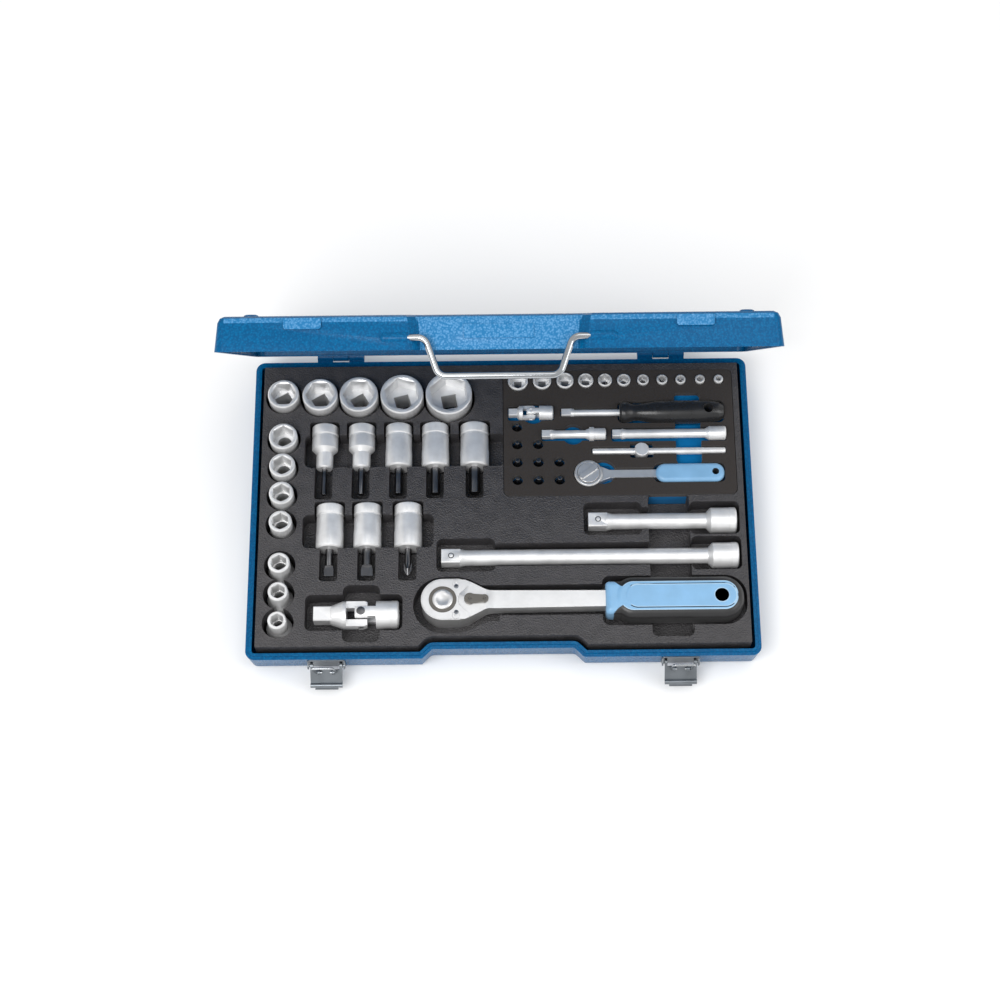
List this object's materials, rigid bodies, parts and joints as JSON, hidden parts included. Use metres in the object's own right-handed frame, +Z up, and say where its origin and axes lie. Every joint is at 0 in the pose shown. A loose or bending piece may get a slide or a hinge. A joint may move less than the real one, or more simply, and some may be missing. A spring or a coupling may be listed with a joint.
{
  "type": "socket wrench set in case",
  "caption": "Hinged steel carrying case with a formed tray of half-inch sockets, bit sockets, bars and a ratchet, and a foam insert of small drive tools.",
  "frame": {"origin": "centre of the base's flat underside", "axes": "+X along the case to the right, +Y back to the hinges, +Z up"},
  "size_m": [0.425, 0.3159, 0.2892],
  "materials": {
    "case_paint": "hammertone",
    "hinge_paint": "hammertone",
    "wire_chrome": "bright",
    "zinc": "satin",
    "tray_plastic": "fine grain",
    "foam_black": "open-cell foam",
    "foam_blue": "open-cell foam",
    "satin_chrome": "satin",
    "bright_chrome": "bright",
    "bit_steel": "dark satin",
    "dark_steel": "dark oxide",
    "grip_rubber": "matt",
    "driver_plastic": "satin"
  },
  "bodies": {
    "case_base": {"base_shell": "case_paint", "hinge_base_leaves": "hinge_paint", "hinge_pins": "zinc", "latch_plates": "zinc", "tool_tray": "tray_plastic"},
    "lid": {"lid_shell": "case_paint", "hinge_lid_leaves": "hinge_paint"},
    "handle": {"carry_handle": "wire_chrome"},
    "latch_lever_left": {"latch_lever_left": "zinc"},
    "latch_lever_right": {"latch_lever_right": "zinc"},
    "latch_bail_left": {"latch_bail_left": "zinc"},
    "latch_bail_right": {"latch_bail_right": "zinc"},
    "foam_insert": {"foam_top": "foam_black", "foam_base": "foam_blue"},
    "ratchet": {"ratchet_body": "bright_chrome", "ratchet_cover": "bright_chrome", "ratchet_grip": "grip_rubber"},
    "ratchet_drive": {"ratchet_drive": "dark_steel"},
    "ratchet_button": {"ratchet_button": "satin_chrome"},
    "ratchet_lever": {"ratchet_lever": "dark_steel"},
    "ratchet_pawl": {"ratchet_pawl": "dark_steel"},
    "uj_socket": {"joint_socket_yoke": "satin_chrome"},
    "uj_cross": {"joint_cross": "satin_chrome"},
    "uj_drive": {"joint_drive_yoke": "satin_chrome"},
    "extension_long": {"extension_long": "satin_chrome"},
    "extension_short": {"extension_short": "satin_chrome"},
    "driver": {"driver_handle": "driver_plastic", "driver_shaft": "satin_chrome"},
    "small_ratchet": {"small_ratchet_body": "bright_chrome", "small_ratchet_grip": "grip_rubber"},
    "small_ratchet_dial": {"small_ratchet_dial": "bright_chrome"},
    "small_ratchet_drive": {"small_ratchet_drive": "dark_steel"},
    "tee_bar": {"tee_bar": "satin_chrome"},
    "tee_head": {"tee_head": "satin_chrome"},
    "small_joint": {"small_joint_socket": "satin_chrome"},
    "small_joint_drive": {"small_joint_drive": "satin_chrome"},
    "quarter_extension_short": {"quarter_extension_short": "satin_chrome"},
    "quarter_extension_long": {"quarter_extension_long": "satin_chrome"},
    "quarter_sockets": {"quarter_sockets": "satin_chrome"},
    "quarter_bits": {"quarter_bits": "bit_steel"},
    "socket_10": {"socket_10": "satin_chrome"},
    "socket_11": {"socket_11": "satin_chrome"},
    "socket_12": {"socket_12": "satin_chrome"},
    "socket_13": {"socket_13": "satin_chrome"},
    "socket_14": {"socket_14": "satin_chrome"},
    "socket_15": {"socket_15": "satin_chrome"},
    "socket_17": {"socket_17": "satin_chrome"},
    "socket_19": {"socket_19": "satin_chrome"},
    "socket_22": {"socket_22": "satin_chrome"},
    "socket_24": {"socket_24": "satin_chrome"},
    "socket_27": {"socket_27": "satin_chrome"},
    "socket_30": {"socket_30": "satin_chrome"},
    "bit_socket_hex_4": {"bit_socket_hex_4": "satin_chrome"},
    "bit_socket_hex_5": {"bit_socket_hex_5": "satin_chrome"},
    "bit_socket_hex_6": {"bit_socket_hex_6": "satin_chrome"},
    "bit_socket_hex_7": {"bit_socket_hex_7": "satin_chrome"},
    "bit_socket_hex_8": {"bit_socket_hex_8": "satin_chrome"},
    "bit_socket_slot_8": {"bit_socket_slot_8": "satin_chrome"},
    "bit_socket_slot_10": {"bit_socket_slot_10": "satin_chrome"},
    "bit_socket_cross_3": {"bit_socket_cross_3": "satin_chrome"}
  },
  "joints": [
    {"name": "lid_hinge", "type": "hinge", "parent": "case_base", "child": "lid", "pos_m": [0, 0.1415, 0.03], "axis": [-1, 0, 0], "range_deg": [-64.2, 41]},
    {"name": "handle_pivot", "type": "hinge", "parent": "lid", "child": "handle", "pos_m": [0, 0.031, 0.28069], "axis": [-1, 0, 0], "range_deg": [0, 175]},
    {"name": "latch_lever_left_pivot", "type": "hinge", "parent": "case_base", "child": "latch_lever_left", "pos_m": [-0.146, -0.1386, 0.02162], "axis": [-1, 0, 0], "range_deg": [-60, 40]},
    {"name": "latch_bail_left_pivot", "type": "hinge", "parent": "latch_lever_left", "child": "latch_bail_left", "pos_m": [-0.146, -0.14478, 0.02235], "axis": [1, 0, 0], "range_deg": [-82.4, 55.6]},
    {"name": "latch_lever_right_pivot", "type": "hinge", "parent": "case_base", "child": "latch_lever_right", "pos_m": [0.146, -0.1386, 0.02162], "axis": [-1, 0, 0], "range_deg": [-60, 40]},
    {"name": "latch_bail_right_pivot", "type": "hinge", "parent": "latch_lever_right", "child": "latch_bail_right", "pos_m": [0.146, -0.14478, 0.02235], "axis": [1, 0, 0], "range_deg": [-82.4, 55.6]},
    {"name": "ratchet_lift", "type": "slide", "parent": "case_base", "child": "ratchet", "axis": [0, 0, 1], "range_m": [0, 0.05]},
    {"name": "foam_lift", "type": "slide", "parent": "case_base", "child": "foam_insert", "axis": [0, 0, 1], "range_m": [0, 0.04]},
    {"name": "reversing_lever_flip", "type": "hinge", "parent": "ratchet", "child": "ratchet_lever", "pos_m": [-0.0271, -0.0887, 0.0415], "axis": [0, 0, 1], "range_deg": [-22, 22]},
    {"name": "ratchet_drive_spin", "type": "hinge", "parent": "ratchet", "child": "ratchet_drive", "pos_m": [-0.0496, -0.0887, 0.0415], "axis": [0, 0, 1], "continuous": true},
    {"name": "release_button_press", "type": "slide", "parent": "ratchet_drive", "child": "ratchet_button", "axis": [0, 0, -1], "range_m": [0, 0.001], "stiffness_N_per_m": 800},
    {"name": "pawl_shift", "type": "slide", "parent": "ratchet", "child": "ratchet_pawl", "axis": [0, 1, 0], "range_m": [-0.0008, 0.0008]},
    {"name": "joint_lift", "type": "slide", "parent": "case_base", "child": "uj_socket", "axis": [0, 0, 1], "range_m": [0, 0.045]},
    {"name": "joint_cross_swivel", "type": "hinge", "parent": "uj_socket", "child": "uj_cross", "pos_m": [-0.117, -0.0982, 0.031], "axis": [0, 0, 1], "range_deg": [-6, 6]},
    {"name": "joint_drive_bend", "type": "hinge", "parent": "uj_cross", "child": "uj_drive", "pos_m": [-0.117, -0.0982, 0.031], "axis": [0, 1, 0], "range_deg": [0, 40]},
    {"name": "extension_long_lift", "type": "slide", "parent": "case_base", "child": "extension_long", "axis": [0, 0, 1], "range_m": [0, 0.04]},
    {"name": "extension_short_lift", "type": "slide", "parent": "case_base", "child": "extension_short", "axis": [0, 0, 1], "range_m": [0, 0.04]},
    {"name": "driver_lift", "type": "slide", "parent": "foam_insert", "child": "driver", "axis": [0, 0, 1], "range_m": [0, 0.04]},
    {"name": "small_ratchet_lift", "type": "slide", "parent": "foam_insert", "child": "small_ratchet", "axis": [0, 0, 1], "range_m": [0, 0.04]},
    {"name": "small_ratchet_dial_turn", "type": "hinge", "parent": "small_ratchet", "child": "small_ratchet_dial", "pos_m": [0.0735, 0.0246, 0.0385], "axis": [0, 0, 1], "range_deg": [-30, 30]},
    {"name": "small_ratchet_drive_spin", "type": "hinge", "parent": "small_ratchet", "child": "small_ratchet_drive", "pos_m": [0.0735, 0.0246, 0.0385], "axis": [0, 0, 1], "continuous": true},
    {"name": "tee_bar_lift", "type": "slide", "parent": "foam_insert", "child": "tee_bar", "axis": [0, 0, 1], "range_m": [0, 0.035]},
    {"name": "tee_head_slide", "type": "slide", "parent": "tee_bar", "child": "tee_head", "axis": [1, 0, 0], "range_m": [-0.0025, 0.0025]},
    {"name": "small_joint_lift", "type": "slide", "parent": "foam_insert", "child": "small_joint", "axis": [0, 0, 1], "range_m": [0, 0.035]},
    {"name": "small_joint_bend", "type": "hinge", "parent": "small_joint", "child": "small_joint_drive", "pos_m": [0.0255, 0.081, 0.03895], "axis": [0, 1, 0], "range_deg": [0, 40]},
    {"name": "quarter_extension_short_lift", "type": "slide", "parent": "foam_insert", "child": "quarter_extension_short", "axis": [0, 0, 1], "range_m": [0, 0.03]},
    {"name": "quarter_extension_long_lift", "type": "slide", "parent": "foam_insert", "child": "quarter_extension_long", "axis": [0, 0, 1], "range_m": [0, 0.03]},
    {"name": "quarter_sockets_lift", "type": "slide", "parent": "foam_insert", "child": "quarter_sockets", "axis": [0, 0, 1], "range_m": [0, 0.03]},
    {"name": "quarter_bits_lift", "type": "slide", "parent": "foam_insert", "child": "quarter_bits", "axis": [0, 0, 1], "range_m": [0, 0.03]},
    {"name": "socket_10_lift", "type": "slide", "parent": "case_base", "child": "socket_10", "axis": [0, 0, 1], "range_m": [0, 0.045]},
    {"name": "socket_11_lift", "type": "slide", "parent": "case_base", "child": "socket_11", "axis": [0, 0, 1], "range_m": [0, 0.045]},
    {"name": "socket_12_lift", "type": "slide", "parent": "case_base", "child": "socket_12", "axis": [0, 0, 1], "range_m": [0, 0.045]},
    {"name": "socket_13_lift", "type": "slide", "parent": "case_base", "child": "socket_13", "axis": [0, 0, 1], "range_m": [0, 0.045]},
    {"name": "socket_14_lift", "type": "slide", "parent": "case_base", "child": "socket_14", "axis": [0, 0, 1], "range_m": [0, 0.045]},
    {"name": "socket_15_lift", "type": "slide", "parent": "case_base", "child": "socket_15", "axis": [0, 0, 1], "range_m": [0, 0.045]},
    {"name": "socket_17_lift", "type": "slide", "parent": "case_base", "child": "socket_17", "axis": [0, 0, 1], "range_m": [0, 0.045]},
    {"name": "socket_19_lift", "type": "slide", "parent": "case_base", "child": "socket_19", "axis": [0, 0, 1], "range_m": [0, 0.045]},
    {"name": "socket_22_lift", "type": "slide", "parent": "case_base", "child": "socket_22", "axis": [0, 0, 1], "range_m": [0, 0.045]},
    {"name": "socket_24_lift", "type": "slide", "parent": "case_base", "child": "socket_24", "axis": [0, 0, 1], "range_m": [0, 0.045]},
    {"name": "socket_27_lift", "type": "slide", "parent": "case_base", "child": "socket_27", "axis": [0, 0, 1], "range_m": [0, 0.045]},
    {"name": "socket_30_lift", "type": "slide", "parent": "case_base", "child": "socket_30", "axis": [0, 0, 1], "range_m": [0, 0.045]},
    {"name": "bit_socket_hex_4_lift", "type": "slide", "parent": "case_base", "child": "bit_socket_hex_4", "axis": [0, 0, 1], "range_m": [0, 0.035]},
    {"name": "bit_socket_hex_5_lift", "type": "slide", "parent": "case_base", "child": "bit_socket_hex_5", "axis": [0, 0, 1], "range_m": [0, 0.035]},
    {"name": "bit_socket_hex_6_lift", "type": "slide", "parent": "case_base", "child": "bit_socket_hex_6", "axis": [0, 0, 1], "range_m": [0, 0.035]},
    {"name": "bit_socket_hex_7_lift", "type": "slide", "parent": "case_base", "child": "bit_socket_hex_7", "axis": [0, 0, 1], "range_m": [0, 0.035]},
    {"name": "bit_socket_hex_8_lift", "type": "slide", "parent": "case_base", "child": "bit_socket_hex_8", "axis": [0, 0, 1], "range_m": [0, 0.035]},
    {"name": "bit_socket_slot_8_lift", "type": "slide", "parent": "case_base", "child": "bit_socket_slot_8", "axis": [0, 0, 1], "range_m": [0, 0.035]},
    {"name": "bit_socket_slot_10_lift", "type": "slide", "parent": "case_base", "child": "bit_socket_slot_10", "axis": [0, 0, 1], "range_m": [0, 0.035]},
    {"name": "bit_socket_cross_3_lift", "type": "slide", "parent": "case_base", "child": "bit_socket_cross_3", "axis": [0, 0, 1], "range_m": [0, 0.035]}
  ],
  "couplings": [
    {"joint": "pawl_shift", "follows": "reversing_lever_flip", "m_per_rad": 0.002},
    {"joint": "latch_bail_left_pivot", "follows": "latch_lever_left_pivot", "ratio": 1.34},
    {"joint": "latch_bail_right_pivot", "follows": "latch_lever_right_pivot", "ratio": 1.34}
  ]
}
